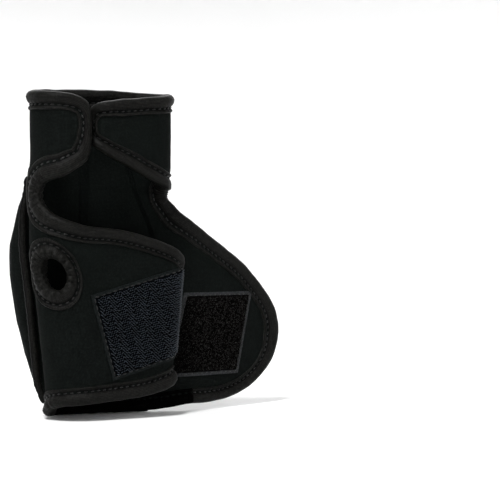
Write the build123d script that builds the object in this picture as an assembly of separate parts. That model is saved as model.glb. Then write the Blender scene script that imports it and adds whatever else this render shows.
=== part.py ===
from build123d import *
from math import cos, radians, sin
import os

os.makedirs("parts", exist_ok=True)

# A weighted neoprene hand and wrist cuff, standing on its wrist end with its flap open.
# Millimetres. +X is the little-finger side, -Y the palm, +Y the back of the hand, +Z the fingers.
# The origin is the middle of the wrist opening, on the surface that the cuff stands on.
# A wall is described by its middle surface; an offset is counted outwards from that surface.

# Sheet and edging
HEIGHT = 188.0
PANEL_T = 3.5
BINDING_T = 5.0
BINDING_W = 10.5
TUCK = 1.0  # how far the edging reaches past the edge of the sheet inside it

# Thumb half: flat back, round thumb side, palm wing
BACK_Y = 16.25
THUMB_R = 18.6
THUMB_Y = BACK_Y - THUMB_R
THUMB_X_WRIST = -36.3
THUMB_X_HAND = -47.3
TAPER_TOP = 100.0
PALM_SLOPE = 10.5
WING_TOP = 128.0
WING_END_X = 41.5
TAB_END_X = -16.0
PIPING_ANGLE = 150.0  # round the thumb side from +X; the seam between thumb side and back is there too
SEAM_Y = THUMB_Y + THUMB_R * sin(radians(PIPING_ANGLE))

# Outer half: little-finger side of the knuckle band and its tab
OUTER_X = 17.0
OUTER_R = 16.0
OUTER_Y = BACK_Y - OUTER_R
OUTER_TAB_END_X = -25.0
TWIST_BOTTOM = 121.0
TWIST_TOP = 134.0
NOTCH_RUN = 21.0
NOTCH_JOIN_Y = 9.0  # edging that joins the notch's to the rear tab's: how far back it runs, how high it is
NOTCH_JOIN_RISE = 6.5

# Flap: two stiff halves with a crease between them
HINGE_X = 48.5
HINGE_GAP = 2.8  # left free on each side of the hinge, so that the thick walls can fold square
CREASE_GAP = 2.3
LOOP_CREASE_GAP = 3.6
FLAP_HEADING = 22.0
FLAP_LENGTH = 77.0
CREASE = 34.0
FLAP_ROOT_BOTTOM = 2.5

# Thumb hole
HOLE_Z = 82.5
HOLE_ANGLE = 234.0
HOLE_R = 10.0

# Hook and loop tape
TAPE_W = 50.0
HOOK_T = 1.6
LOOP_T = 2.2
HOOK_LENGTH = 62.0
HOOK_TURN = 15.5
HOOK_CORNER = (-5.0, 22.3)
LOOP_LENGTH = 43.5
LOOP_BOTTOM = 20.5
LOOP_START = 3.0
LOOP_LEAN = 12.0

# Weight pouch on the back of the hand: height, left side, right side, back
POUCH_SECTIONS = [
    (0.0, -33.0, 33.0, 27.0),
    (28.0, -43.5, 34.5, 34.5),
    (55.0, -51.0, 34.5, 38.5),
    (78.0, -54.5, 34.5, 40.0),
    (99.0, -54.5, 34.0, 38.5),
    (116.0, -50.5, 31.0, 34.0),
    (136.0, -48.0, 25.0, 27.0),
    (150.0, -46.0, 16.0, 20.8),
]
COVER_T = 2.5
POUCH_CORNER = 8.0
POUCH_FRONT_Y = 10.5
# Fill: height and depth of a bag at its bottom, middle and top
BAG_SECTIONS = [(24.0, 10.0), (72.0, 16.5), (115.0, 10.0)]
BAG_WALL = 1.0
BAG_WIDTH = 32.0
BAG_FRONT_Y = 19.0
BAG_CENTRES = {"thumb": -22.0, "outer": 12.0}
BAG_CORNER = 4.0
PIPING_R = 2.4
PIPING_OUT = 3.8  # the cord's middle, outwards from the wall's
PIPING_LEVELS = (4.0, TAPER_TOP, 150.0)

# Sewing
STITCH_PITCH = 3.6
STITCH_SIZE = (2.4, 0.7)
THREAD_T = 0.5
STITCH_INSET = 2.5
TACK_X = -20.5
TACK_SIZE = (1.2, 11.4, 14.0)
TACK_Z = 166.0

# Allowances for cutting shapes
FAR = 90.0  # beyond the cuff in any horizontal direction
TALL = 230.0  # above the cuff
BELOW = -20.0  # under it
CORE_GAP = 0.1  # between the walls and the pouch

# Palm window, seen from the palm: (x, z) round its edge, from the thumb tab's end to the wing's end
WINDOW_UPPER = [(-16, 158), (-20, 149), (-27, 142.5), (-36, 138.5), (-44, 134)]
WINDOW_LEFT = (-48.5, 127.5)
WINDOW_LOWER = [(-44, 120.5), (-34, 114.5), (-21, 110.5), (2, 108.5), (23, 103), (43, 90)]
WINDOW_BACK_Y = -12.0
# Hem of the palm wing, rising towards the wing's end, and lower edge of the outer tab
HEM_LINE = [(-60, 0), (-37, 0), (-29, 5), (-20, 9.2), (1, 11), (19, 13), (31, 16.5), (37, 19.5), (60, 31)]
OUTER_TAB_LINE = [(-40, 165), (-13, 152.5), (6, 142.5), (18, 136), (27, 132), (50, 122)]
# Flap outline: (distance past the hinge, z), along the top to the tip and back along the bottom
FLAP_TOP = [(-30, 140.4), (0, 121), (17, 110), (45, 93.5), (60, 79.5), (70, 66), (75.5, 55)]
FLAP_TIP = (FLAP_LENGTH, 44)
FLAP_BOTTOM = [
    (75, 32), (71, 24), (64, 17), (50, 9.5), (33, 5), (17, 3.5), (0, FLAP_ROOT_BOTTOM), (-30, 1),
]


def thumb_side_x(z):
    """Middle surface's furthest thumb-side x at height z: the cuff narrows towards the wrist."""
    return THUMB_X_WRIST + (THUMB_X_HAND - THUMB_X_WRIST) * min(z, TAPER_TOP) / TAPER_TOP


def thumb_track(z, out, slope, back_x, front_x):
    """Edges of the thumb half at height z, at an offset: along the back, round the thumb, over the palm."""
    r = THUMB_R + out
    cx = thumb_side_x(z) + THUMB_R
    turn = radians(slope)
    start = (back_x, THUMB_Y + r, z)
    top = (cx, THUMB_Y + r, z)
    side = (cx - r, THUMB_Y, z)
    tangent = (cx + r * sin(turn), THUMB_Y - r * cos(turn), z)
    mid_x = cx + THUMB_R * sin(turn)
    run = (front_x - mid_x) / cos(turn)
    end = (tangent[0] + run * cos(turn), tangent[1] + run * sin(turn), z)
    edges = [Line(start, top), ThreePointArc(top, side, tangent), Line(tangent, end)]
    return edges, start, end


def thumb_slice(z, inner, outer, slope, back_x, front_x):
    """Horizontal slice of the thumb half's wall between two offsets."""
    outside, out_start, out_end = thumb_track(z, outer, slope, back_x, front_x)
    inside, in_start, in_end = thumb_track(z, inner, slope, back_x, front_x)
    return make_face([*outside, Line(out_end, in_end), *inside, Line(in_start, out_start)])


def lower_wall(inner, outer):
    """Thumb half below the window's top: tapered to the wrist, with the palm wing's slope."""
    back_x = HINGE_X - HINGE_GAP
    slices = [thumb_slice(z, inner, outer, PALM_SLOPE, back_x, WING_END_X) for z in (0, TAPER_TOP)]
    tapered = loft(slices, ruled=True)
    straight = extrude(slices[1], amount=WING_TOP - TAPER_TOP, dir=(0, 0, 1))
    return tapered + straight


def upper_wall(inner, outer):
    """Thumb half of the knuckle band, up to the end of the front tab."""
    face = thumb_slice(WING_TOP, inner, outer, 0, OUTER_X, TAB_END_X - TUCK)
    return extrude(face, amount=HEIGHT - TUCK - WING_TOP, dir=(0, 0, 1))


def outer_slice(z, inner, outer):
    """Horizontal slice of the outer half of the knuckle band, ending in the rear tab."""
    edges = []
    ends = []
    for out in (outer, inner):
        r = OUTER_R + out
        back = (OUTER_X, OUTER_Y + r, z)
        front = (OUTER_X, OUTER_Y - r, z)
        tab = (OUTER_TAB_END_X, OUTER_Y - r, z)
        edges += [ThreePointArc(back, (OUTER_X + r, OUTER_Y, z), front), Line(front, tab)]
        ends.append((back, tab))
    (out_back, out_tab), (in_back, in_tab) = ends
    return make_face([*edges, Line(out_tab, in_tab), Line(in_back, out_back)])


def outer_wall(inner, outer, top):
    face = outer_slice(TWIST_TOP, inner, outer)
    return extrude(face, amount=top - TWIST_TOP, dir=(0, 0, 1))


def twist_wall(inner, outer, run):
    """The short stretch where the flat back below turns into the round side of the band above."""
    angle = run / OUTER_R
    flat = Polyline(
        (OUTER_X, BACK_Y + outer, TWIST_BOTTOM),
        (OUTER_X + run, BACK_Y + outer, TWIST_BOTTOM),
        (OUTER_X + run, BACK_Y + inner, TWIST_BOTTOM),
        (OUTER_X, BACK_Y + inner, TWIST_BOTTOM),
        close=True,
    )

    def on_arc(out, share):
        r = OUTER_R + out
        return (OUTER_X + r * sin(angle * share), OUTER_Y + r * cos(angle * share), TWIST_TOP)

    round_edges = [
        ThreePointArc(on_arc(outer, 0), on_arc(outer, 0.5), on_arc(outer, 1)),
        Line(on_arc(outer, 1), on_arc(inner, 1)),
        ThreePointArc(on_arc(inner, 1), on_arc(inner, 0.5), on_arc(inner, 0)),
        Line(on_arc(inner, 0), on_arc(outer, 0)),
    ]
    return loft([make_face(flat), make_face(round_edges)], ruled=True)


def palm_prism(points, front_of=0.0):
    """Solid over an outline seen from the palm, everywhere in front of a given y."""
    return extrude(Plane.XZ.offset(-front_of) * make_face(Polyline(*points, close=True)), amount=FAR)


def slab(low, high, y_min=-FAR, y_max=FAR, x_min=-FAR, x_max=2 * FAR):
    """Everything between two heights, two depths and two widths."""
    middle = ((x_min + x_max) / 2, (y_min + y_max) / 2, (low + high) / 2)
    return Pos(*middle) * Box(x_max - x_min, y_max - y_min, high - low)


def window_tool(grow, back_y):
    """The palm window's opening, grown by an amount: in front of back_y, and further back over the wing."""
    right = [(FAR, WINDOW_LOWER[-1][1] - 30), (FAR, TALL)]
    points = [(TAB_END_X, TALL), *WINDOW_UPPER, WINDOW_LEFT, *WINDOW_LOWER, *right]
    face = make_face(Polyline(*points, close=True))
    if grow:
        face = offset(face, amount=grow, kind=Kind.INTERSECTION)
    in_front = extrude(Plane.XZ.offset(-back_y) * face, amount=FAR)
    over_wing = extrude(Plane.XZ * face, amount=FAR) & slab(BELOW, 2 * TALL, x_min=0)
    return in_front + over_wing


def hem_tool(rise):
    """Everything below the hem, lifted by rise: level behind, climbing along the palm wing."""
    line = [(x, z + rise) for x, z in HEM_LINE]
    front = palm_prism([*line, (line[-1][0], BELOW), (line[0][0], BELOW)], THUMB_Y)
    return front + slab(BELOW, rise, THUMB_Y, FAR)


def outer_tab_tool(grow):
    """Everything in front of the band below the rear tab's lower edge, raised by grow."""
    line = [(x, z + grow) for x, z in OUTER_TAB_LINE]
    return palm_prism([*line, (line[-1][0], TAPER_TOP), (line[0][0], TAPER_TOP)], OUTER_Y)


def hole_tool(radius):
    """Cylinder through the thumb side, square to the wall at the thumb hole."""
    turn = radians(HOLE_ANGLE)
    cx = thumb_side_x(HOLE_Z) + THUMB_R
    plane = Plane(origin=(cx, THUMB_Y, HOLE_Z), z_dir=(cos(turn), sin(turn), 0))
    return extrude(plane * Circle(radius), amount=FAR / 2)


def flap_plane():
    """Plane of the flap's middle surface: x along the flap from the hinge, y up, z to the inside."""
    turn = radians(FLAP_HEADING)
    along, inwards = (cos(turn), sin(turn), 0), (sin(turn), -cos(turn), 0)
    return Plane(origin=(HINGE_X, BACK_Y, 0), x_dir=along, z_dir=inwards)


def flap_plate(grow, inner, outer, start, end):
    """Flap between two distances from the hinge, its outline shrunk by grow, from outer to inner face."""
    face = make_face(Polyline(*FLAP_TOP, FLAP_TIP, *FLAP_BOTTOM, close=True))
    if grow:
        face = offset(face, amount=-grow, kind=Kind.INTERSECTION)
    window = Pos((start + end) / 2, HEIGHT / 2) * Rectangle(end - start, 2 * HEIGHT)
    plate = extrude(Plane.XY.offset(-outer) * (face & window), amount=inner + outer)
    return flap_plane().location * plate


def flap_half(start, end):
    """Sheet and edging of one half of the flap. The edging is open where the two halves meet."""
    half_sheet, half_binding = PANEL_T / 2, BINDING_T / 2
    sheet = flap_plate(TUCK, half_sheet, half_sheet, start, end)
    rim = flap_plate(0, half_binding, half_binding, start, end)
    core = flap_plate(BINDING_W, 2 * half_binding, 2 * half_binding, start, end)
    return sheet, rim, core


def pouch_solid(shrink, top):
    """Rounded back of the pouch, its sides moved in by shrink."""
    faces = []
    for z, left, right, back in POUCH_SECTIONS:
        width = right - left - 2 * shrink
        depth = back - shrink - POUCH_FRONT_Y
        level = min(max(z, shrink), top)
        centre = ((left + right) / 2, POUCH_FRONT_Y + depth / 2, level)
        corner = min(POUCH_CORNER, 0.45 * depth)
        faces.append(Pos(*centre) * RectangleRounded(width, depth, corner))
    return loft(faces, ruled=True)


def filled_core(out):
    """Everything inside the cuff, out to an offset from the wall's middle surface."""
    faces = []
    for z in (0, TAPER_TOP, HEIGHT):
        edges, start, end = thumb_track(z, out, 0, FAR, FAR)
        faces.append(make_face([*edges, Line(end, start)]))
    return loft(faces, ruled=True)


def seam_points():
    """Points up the thumb-side seam, where the pouch and the back meet the thumb side."""
    turn, reach = radians(PIPING_ANGLE), THUMB_R + PIPING_OUT
    centres = [(thumb_side_x(z) + THUMB_R, z) for z in PIPING_LEVELS]
    return [Vector(cx + reach * cos(turn), THUMB_Y + reach * sin(turn), z) for cx, z in centres]


def cord(points, radius):
    """Round cord through the points, with a ball at each bend."""
    solid = None
    for a, b in zip(points, points[1:]):
        plane = Plane(origin=a, z_dir=b - a)
        piece = extrude(plane * Circle(radius), amount=(b - a).length)
        solid = piece if solid is None else solid + piece + Pos(*a) * Sphere(radius)
    return solid


def hook_outline():
    """The hook tape's rectangle seen from the palm, turned so that its outer end is higher."""
    turn = Location(HOOK_CORNER, HOOK_TURN)
    return turn * Pos(HOOK_LENGTH / 2, TAPE_W / 2) * Rectangle(HOOK_LENGTH, TAPE_W)


def loop_outline():
    """The loop tape's outline in the flap's plane: level selvedges and slanted ends."""
    a = (LOOP_START, LOOP_BOTTOM)
    b = (LOOP_START + LOOP_LENGTH, LOOP_BOTTOM)
    c = (b[0] + LOOP_LEAN, b[1] + TAPE_W)
    d = (a[0] + LOOP_LEAN, a[1] + TAPE_W)
    return make_face(Polyline(a, b, c, d, close=True))


def on_flap(outline, start, end, level, thickness):
    """Part of an outline on the flap's inner side, between two distances from the hinge."""
    window = Pos((start + end) / 2, HEIGHT / 2) * Rectangle(end - start, 2 * HEIGHT)
    piece = extrude(Plane.XY.offset(level) * (outline & window), amount=thickness)
    return flap_plane().location * piece


def bag_solid(x, shrink):
    """Fill bag, flat against the back and fullest in the middle, its sides moved in by shrink."""
    faces = []
    for z, depth in BAG_SECTIONS:
        level = min(max(z, BAG_SECTIONS[0][0] + shrink), BAG_SECTIONS[-1][0] - shrink)
        section = RectangleRounded(BAG_WIDTH - 2 * shrink, depth - 2 * shrink, BAG_CORNER - shrink)
        faces.append(Pos(x, BAG_FRONT_Y + depth / 2, level) * section)
    return loft(faces, ruled=True)


def stitches(outline):
    """Short dashes round an outline, a little inside it, each lying along its edge."""
    path = offset(outline, amount=-STITCH_INSET, kind=Kind.INTERSECTION).face().outer_wire()
    dashes = []
    for edge in path.edges():
        count = int(edge.length / STITCH_PITCH)
        for i in range(count):
            at = edge @ ((i + 0.5) / count)
            angle = Vector(1, 0, 0).get_signed_angle(edge % 0.5, Vector(0, 0, 1))
            dashes.append(Pos(at.X, at.Y) * Rot(0, 0, angle) * Rectangle(*STITCH_SIZE))
    return Sketch() + dashes


nodes = {}
half, thick = PANEL_T / 2, BINDING_T / 2

# Neoprene walls. The seam between the thumb side and the back is a plane, y = SEAM_Y.
wall = (lower_wall(-half, half) + upper_wall(-half, half)) - window_tool(TUCK, WINDOW_BACK_Y + TUCK)
wall = wall - hem_tool(TUCK) - hole_tool(HOLE_R + TUCK)
edge_wall = lower_wall(-thick, thick) + upper_wall(-thick, thick)
above_flat = slab(TWIST_BOTTOM, WING_TOP, THUMB_Y, FAR, OUTER_X)
wall = wall - above_flat
edge_wall = edge_wall - above_flat
# The flat back's top edge between the notch and the flap carries the edging on from one to the other.
root_zone = slab(TWIST_BOTTOM - BINDING_W, HEIGHT, THUMB_Y, FAR, OUTER_X + NOTCH_RUN, HINGE_X)
wall = wall - (root_zone & slab(TWIST_BOTTOM - TUCK, HEIGHT))
piping = cord(seam_points(), PIPING_R)
back_part = wall & slab(BELOW, TALL, SEAM_Y, FAR)
thumb_part = wall & slab(BELOW, TALL, -FAR, SEAM_Y)

outer_top = HEIGHT - TUCK
outer_part = outer_wall(-half, half, outer_top) + twist_wall(-half, half, NOTCH_RUN - TUCK)
outer_part = outer_part - outer_tab_tool(TUCK)

# Edgings: a thicker copy of the wall, kept in a strip along each edge, less the sheet inside it.
rim_bottom = HEIGHT - BINDING_W
rim_zone = slab(rim_bottom, HEIGHT)
thumb_rim_face = thumb_slice(rim_bottom, -thick, thick, 0, OUTER_X, TAB_END_X)
thumb_rim = extrude(thumb_rim_face, amount=BINDING_W, dir=(0, 0, 1))
outer_rim = extrude(outer_slice(rim_bottom, -thick, thick), amount=BINDING_W, dir=(0, 0, 1))
top_rim = (thumb_rim + outer_rim) - wall - outer_part
window_zone = window_tool(BINDING_W, WINDOW_BACK_Y + BINDING_W) - window_tool(0, WINDOW_BACK_Y)
thumb_edge = (edge_wall & window_zone) - rim_zone - wall
tab_end_face = thumb_slice(WING_TOP, -thick, thick, 0, OUTER_X, TAB_END_X)
tab_end = extrude(tab_end_face, amount=rim_bottom - WING_TOP, dir=(0, 0, 1)) & window_zone
thumb_edge = thumb_edge + (tab_end - wall)

outer_edge = outer_wall(-thick, thick, rim_bottom) & (outer_tab_tool(BINDING_W) - outer_tab_tool(0))
notch_join = slab(TWIST_TOP, HEIGHT, OUTER_Y, OUTER_Y + NOTCH_JOIN_Y, OUTER_X)
notch_edge = twist_wall(-thick, thick, NOTCH_RUN) - twist_wall(-2 * thick, 2 * thick, NOTCH_RUN - BINDING_W)
outer_edge = outer_edge + (outer_wall(-thick, thick, TWIST_TOP + NOTCH_JOIN_RISE) & notch_join)
outer_edge = (outer_edge + notch_edge + (edge_wall & root_zone)) - outer_part - wall

hem_edge = (edge_wall & (hem_tool(BINDING_W) - hem_tool(0))) - wall
hole_edge = (lower_wall(-thick, thick) & (hole_tool(HOLE_R + BINDING_W - TUCK) - hole_tool(HOLE_R))) - wall

# Flap halves
side_sheet, side_rim, side_core = flap_half(HINGE_GAP, CREASE - CREASE_GAP)
front_sheet, front_rim, front_core = flap_half(CREASE + CREASE_GAP, FLAP_LENGTH + 5)

# Pouch with its two bags
cover = pouch_solid(0, POUCH_SECTIONS[-1][0]) - pouch_solid(COVER_T, POUCH_SECTIONS[-1][0] - COVER_T)
cover = cover - filled_core(thick + CORE_GAP) - piping

tack = Pos(TACK_X, (THUMB_Y - THUMB_R + OUTER_Y - OUTER_R) / 2, TACK_Z) * Box(*TACK_SIZE)
hook_wall = lower_wall(half, half + HOOK_T)
hook_thread = lower_wall(half + HOOK_T, half + HOOK_T + THREAD_T)
on_loop = half + LOOP_T
loop_halves = {
    "side": (LOOP_START, CREASE - LOOP_CREASE_GAP),
    "front": (CREASE + LOOP_CREASE_GAP, FLAP_LENGTH),
}

nodes["back_panel"] = back_part - piping
nodes["thumb_side_panel"] = thumb_part - piping - tack
nodes["outer_side_panel"] = outer_part - tack
nodes["thumb_seam_piping"] = piping - slab(BELOW, 0)
nodes["top_rim_binding"] = top_rim
nodes["palm_window_binding"] = thumb_edge - tack
nodes["outer_tab_binding"] = outer_edge - tack
nodes["hem_binding"] = hem_edge - piping
nodes["thumb_hole_binding"] = hole_edge
nodes["band_tack"] = tack
nodes["flap_side_panel"] = side_sheet
nodes["flap_front_panel"] = front_sheet
nodes["flap_side_binding"] = side_rim - side_core - side_sheet
nodes["flap_front_binding"] = front_rim - front_core - front_sheet
nodes["hook_tape"] = (hook_wall & extrude(Plane.XZ * hook_outline(), amount=FAR)) - thumb_edge
hook_dashes = extrude(Plane.XZ * stitches(hook_outline()), amount=FAR)
nodes["hook_tape_thread"] = (hook_thread & hook_dashes) - thumb_edge
for name, span in loop_halves.items():
    edging = nodes[f"flap_{name}_binding"]
    nodes[f"loop_tape_{name}"] = on_flap(loop_outline(), *span, half, LOOP_T) - edging
    nodes[f"loop_tape_thread_{name}"] = on_flap(stitches(loop_outline()), *span, on_loop, THREAD_T) - edging
nodes["weight_pouch_cover"] = cover

for name, x in BAG_CENTRES.items():
    sand = bag_solid(x, BAG_WALL)
    nodes[f"shot_bag_{name}"] = bag_solid(x, 0) - sand
    nodes[f"iron_sand_{name}"] = sand

for name, shape in nodes.items():
    shape.label = name
    export_step(shape, f"parts/{name}.step")
    print(name, round(shape.volume, 1), len(shape.solids()))
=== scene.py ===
"""Looks of a weighted neoprene hand cuff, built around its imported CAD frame.

Lengths are millimetres until a mesh is made, and the frame's own axes are kept: +X is the little-finger
side, -Y the palm, +Y the back of the hand, +Z the fingers. The cuff is cut from one flat pattern. A place
in the pattern is (a, z): a runs along the wall, from the palm round the thumb to the back, where it equals
x, and on to the little-finger side or the flap. h is counted outwards from the middle of the wall.
"""

import math

import bmesh
import bpy
import numpy as np
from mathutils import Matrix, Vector, geometry


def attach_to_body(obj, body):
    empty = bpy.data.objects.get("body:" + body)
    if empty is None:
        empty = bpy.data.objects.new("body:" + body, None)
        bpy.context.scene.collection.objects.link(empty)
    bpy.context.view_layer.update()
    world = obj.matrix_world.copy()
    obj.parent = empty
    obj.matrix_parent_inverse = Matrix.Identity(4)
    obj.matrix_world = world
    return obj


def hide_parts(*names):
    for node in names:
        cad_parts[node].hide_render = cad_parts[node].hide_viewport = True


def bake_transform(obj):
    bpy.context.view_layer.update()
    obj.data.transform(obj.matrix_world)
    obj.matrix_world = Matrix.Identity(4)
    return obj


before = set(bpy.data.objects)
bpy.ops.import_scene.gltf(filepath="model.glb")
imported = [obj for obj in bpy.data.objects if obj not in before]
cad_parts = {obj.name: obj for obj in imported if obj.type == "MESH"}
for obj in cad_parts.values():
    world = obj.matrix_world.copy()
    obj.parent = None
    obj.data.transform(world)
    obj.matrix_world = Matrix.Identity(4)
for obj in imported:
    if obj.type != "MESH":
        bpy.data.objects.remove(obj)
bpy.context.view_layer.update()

MM = 0.001
PATTERN_UNIT = 100  # millimetres in one unit of a mesh's UV map, which holds its place in the cloth
FACE_STEP = 20  # how far the pattern of an edging's inner face is moved on

# Wall sections, as in the CAD part
PANEL_T = 3.5
BACK_Y = 16.25
THUMB_R = 18.6
THUMB_Y = BACK_Y - THUMB_R
THUMB_X_WRIST = -36.3
THUMB_X_HAND = -47.3
TAPER_TOP = 100.0
PALM_SLOPE = math.radians(10.5)
SLOPE_FADE = (112.0, 136.0)
SEAM_TURN = math.radians(60)
POUCH_TURN = math.radians(37)
OUTER_X = 17.0
OUTER_R = 16.0
OUTER_Y = BACK_Y - OUTER_R
TWIST = (121.0, 134.0)

# Where sewing draws the wall in or lets it out: depth, place and spread
SEAM_PINCH = (3.2, 162, 13)  # degrees round the thumb side
SEAM_PINCH_FADES = ((7, 21), (104, 130))
BAND_PINCH = (1.1, 162, 40)
BAND_PINCH_FADE = (134, 148)
NOTCH_REACH = (1.0, 41, 11)  # a, for both of the next two
NOTCH_PULL = (2.5, 133.8, 5.0)  # z
NOTCH_PUSH = (2.8, 127.2, 2.8)

# Flap
HINGE_X = 48.5
HINGE_BEND = 5.0
HEADING = math.radians(22)
CREASE = 34.0
BLEND = 4.5
SHELL_END = -6.0  # where the flap's cloth takes over from the back's, as a distance past the hinge
FLAP_SPLIT = 17.0
FLAP_MIDDLE_Z = 60.0

# Ends that curl into the cuff: the palm wing's, and the two tabs', which meet and are tacked together
WING_CURL_R = 11.0
TAB_CURL_R = 5.5
CURL_LOW = (24.2, 20.0)
CURL_RISE = 0.0985
CURL_RUN = 16.3
HEM_FLARE = (3.0, 15, 7)  # how far, and round which z
TAB_CURL_X = -25.0
OUTER_CURL_X = -8.0

# Edging: depth into the cloth and height over its middle, from the lip to the fold at the edge
ROLL = [
    (11.0, 1.4), (10.95, 2.2), (10.4, 2.7), (9.5, 2.6), (8.8, 2.1), (8.0, 1.8), (7.3, 2.05), (6.4, 2.9),
    (5.0, 3.5), (3.3, 3.7), (1.7, 3.3), (0.6, 2.3), (0.1, 1.1),
]
STITCH_DEPTH = 8.0
GATHER_PITCH = 4.6
STITCH_PITCH = 3.6
STITCH_LENGTH = 0.54 * STITCH_PITCH
STITCH_LEVEL = 1.95
# The next two set the painted shade along an edging's stitched groove.
GROOVE_SHADE_SPAN = (0.6, 1.8)  # half width of the dark line in the groove, and where its shade ends
GROOVE_SHADE_TONE = 0.06
SHEET_INSET = 1.5
SHEET_PITCH = 2.0
LINE_BASE = -4.0  # the lines that divide the sheet begin below it and end above it
FLAP_LINE_TOP = 127.0
BAND_LINE_TOP = 194.0
BAND_BASE = 128.0


def on(zone, *places):
    """Places of the flat pattern in one zone, as (zone, place in the zone, z). pattern_a() reads them."""
    return [(zone, *place) for place in places]


# Cloth edges in the flat pattern
WINDOW = [
    *on("palm", (47.2, 88.5), (36, 96.6), (23.4, 101.8), (2.3, 107.2), (-21, 109.8)),
    *on(
        "side",
        (251, 114.4), (232, 118), (218, 122.5), (212, 126.5), (217, 131), (232, 134.6), (258, 137),
    ),
    *on("palm", (-27, 140.4), (-20.5, 145.8), (-17, 155), (-16, 166)),
]
RIM = [
    *on("palm", (-17, 173.5), (-20.5, 179.5), (-28, 183)),
    *on("side", (225, 184.8), (180, 186), (125, 188.5)),
    *on("back", (-8, 189.7), (15, 189.2)),
    *on("outer", (90, 187), (150, 184.2)),
    *on("tab", (8, 182.2), (-6, 180.5), (-14, 178)),
]
OUTER_TAB = [
    *on("tab", (-17.5, 173.5), (-18.8, 165.5), (-17.2, 158), (-11, 152), (6.3, 142.6)),
    *on("outer", (175, 136), (141, 132.2), (112, 131), (88, 130.4)),
    *on("back", (38.2, 128), (41, 124.6)),
    *on("flap", (-3, 119.2)),
]
FLAP = on(
    "flap",
    (17.2, 106.2), (45.6, 88.5), (60.6, 75), (70.6, 63.5), (75.3, 52.5), (75.8, 42), (71.2, 29),
    (61.9, 18.9), (48.7, 10.4), (33.2, 5.6), (17.2, 3.9),
)
HEM = [
    *on("flap", (2, 3.8)),
    *on("back", (37, 2.0), (20, 0.8), (-10, 0.6)),
    *on("side", (125, 0.6), (180, 1.8), (193, 4.4), (205, 6.6), (222, 7.8), (260, 9.2)),
    *on("palm", (1.3, 11.1), (18.7, 13.1), (30.7, 16.5), (39.7, 20.5)),
]
# Width of the edging against its usual width, at places along the edge
EDGING_WIDTH = [
    ("palm", 40, 92, 0.88), ("palm", -10, 110, 0.83), ("side", 215, 122, 1.15), ("side", 215, 131, 1.25),
    ("side", 258, 137, 1.2), ("palm", -20, 146, 1.0), ("palm", -16, 166, 0.85), ("side", 180, 186, 1.0),
    ("tab", 0, 182, 0.9), ("tab", -19, 170, 0.65), ("tab", -18, 158, 0.65), ("tab", 6, 142.6, 0.85),
    ("outer", 112, 130, 0.8), ("back", 39, 126.5, 1.1), ("flap", -3, 119, 1.15), ("flap", 20, 105, 1.05),
    ("flap", 60, 75, 1.0), ("flap", 76, 42, 1.2), ("flap", 62, 19, 0.9), ("flap", 30, 5, 0.8),
    ("back", 0, 0.5, 0.95), ("palm", 30, 16, 0.9),
]
HOLE = ("side", 234, 82.5)
HOLE_SIZE = (6.9, 8.8)
HOLE_LOPSIDED = 0.33  # how much narrower its edging is towards the thumb side
TACK_AT = (-16.4, -12.5, 165.0)
TACK_SIZE = (6.5, 11.0)
TACK_PITCH = 1.15

# Tapes
HOOK_CORNER = (-5.0, 22.3)
HOOK_TURN = math.radians(15.5)
TAPE_W = 50.0
HOOK_SELVEDGE = 1.5
LOOP_SELVEDGE = 2.0
LOOP_CORNER = (-12.0, 20.5)
LOOP_LENGTH = 53.0
LOOP_LEAN = 11.5
HOOK_PITCH = (1.45, 1.25)
HOOK_STRIPE = 4.4  # width of the stripes in which the hooks turn the same way
HOOK_R = 0.2
PILE_COUNT = 3200
PILE_R = 0.09
HOOK_SEWING = (0.85, 1.7)  # the stitches' height over the sheet, and from the border
LOOP_SEWING = (1.0, 1.6)
BACK_LEVEL = 0.1  # height of the same stitches on the sheet's other face

# Pouch: height, thumb side, outer side, back
POUCH = [
    (0, -34, 31, 25), (14, -41.2, 34, 33), (28, -45.7, 36, 36.5), (55, -52.3, 37, 40), (78, -56, 37, 41),
    (99, -56.5, 36.5, 40), (116, -53, 34, 36), (132, -50, 27, 28), (146, -47, 19, 22),
]
POUCH_SEAM_X = -5.0
POUCH_SEAM_DEPTH = 2.4
POUCH_SQUARE = (0.5, 0.52)  # exponents of its sections: smaller is squarer
POUCH_SHRINK = 2.0  # how much smaller it is before it is filled
POUCH_SWELL = 6.0  # how far the fill may move its cloth
POUCH_VOXEL = 4.5
POUCH_CLOTH = {
    "quality": 6, "mass": 0.25, "tension_stiffness": 12, "compression_stiffness": 12,
    "bending_stiffness": 0.6, "use_pressure": True, "uniform_pressure_force": 4,
}
POUCH_FRAMES = 20
PIPING_R = 2.3
PIPING_REACH = 24.6
PIPING_TURN = math.radians(150)
PIPING_BASE = 8.0
PIPING_TOP = 138.0

# Seams of the lining, on the inner face of the back
LAP_SEAM = on("back", (-15.5, 6), (-15.5, 60), (-15.5, 120), (-15.5, 176))
SIDE_SEAM = on(
    "back",
    (12, 152), (16, 142), (20, 130), (25, 118), (29.6, 107), (33, 92), (35, 70), (35.5, 40), (35.5, 12),
)
LAP_PROFILE = [(0, -1.5), (0, -2.9), (0.5, -3.1), (4.5, -2.8), (5.0, -2.6), (5.0, -1.5)]
SIDE_PROFILE = [(0, -1.5), (0.3, -2.7), (0.9, -2.95), (1.6, -2.4), (2.8, -2.15), (3.0, -1.5)]


# ---- pattern to wall


def ease(x):
    x = np.clip(x, 0, 1)
    return x * x * (3 - 2 * x)


def fade_in(x, start, end):
    return ease((x - start) / (end - start))


def round_turn(count):
    """Angles of a full turn, evenly spaced."""
    return np.arange(count) * 2 * np.pi / count


def hump(x, height, place, spread):
    """A smooth rise round a place."""
    return height * np.exp(-(((x - place) / spread) ** 2))


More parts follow.
